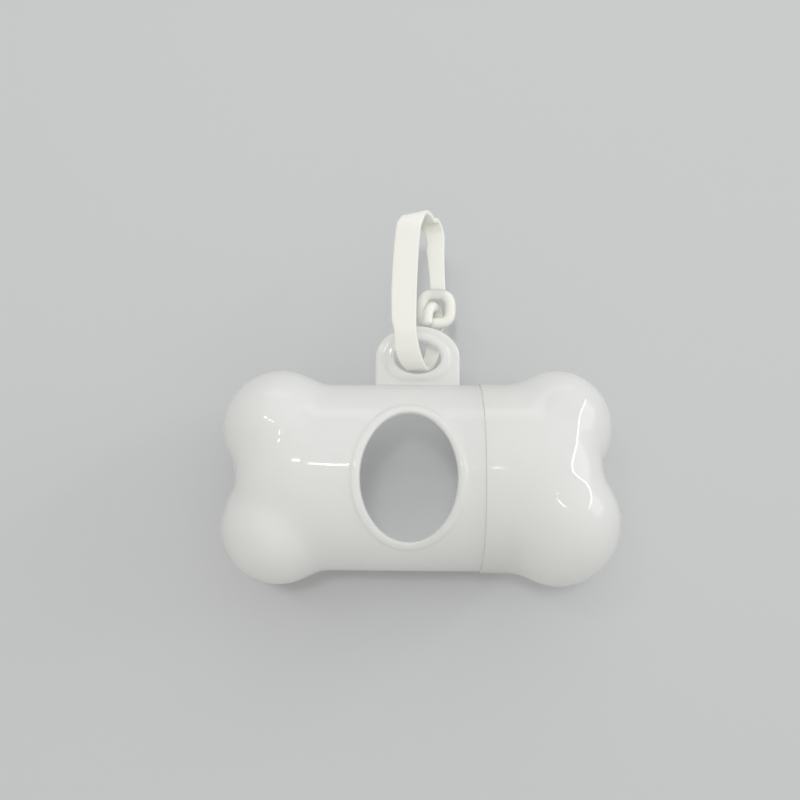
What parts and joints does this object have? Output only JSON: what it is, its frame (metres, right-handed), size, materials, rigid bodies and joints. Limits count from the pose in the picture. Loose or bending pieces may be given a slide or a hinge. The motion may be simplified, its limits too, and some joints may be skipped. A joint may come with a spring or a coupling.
{
  "type": "dog waste bag dispenser",
  "caption": "bone-shaped plastic dispenser for a roll of waste bags, with an oval window, a pull-off end cap, and a hanging lug that carries a hooked strap",
  "frame": {"origin": "centre of the eye in the hanging lug, on the mid plane of the lug", "axes": "X along the bone towards the end cap, Y away from the bone through the lug and the strap, Z out of the window, so the part lies on its back"},
  "size_m": [0.0842, 0.0815, 0.0418],
  "materials": {
    "shell_plastic": "smooth glossy white moulded plastic",
    "strap_plastic": "satin flexible white plastic"
  },
  "bodies": {
    "body": {"body_shell": "shell_plastic"},
    "cap": {"end_cap": "shell_plastic"},
    "strap": {"strap_clip": "strap_plastic"}
  },
  "joints": [
    {"name": "cap_pull", "type": "slide", "parent": "body", "child": "cap", "axis": [1, 0, 0], "range_m": [0, 0.02]},
    {"name": "strap_swing", "type": "hinge", "parent": "body", "child": "strap", "pos_m": [0, 0.0053, 0], "axis": [1, 0, 0], "range_deg": [-70, 70]}
  ]
}
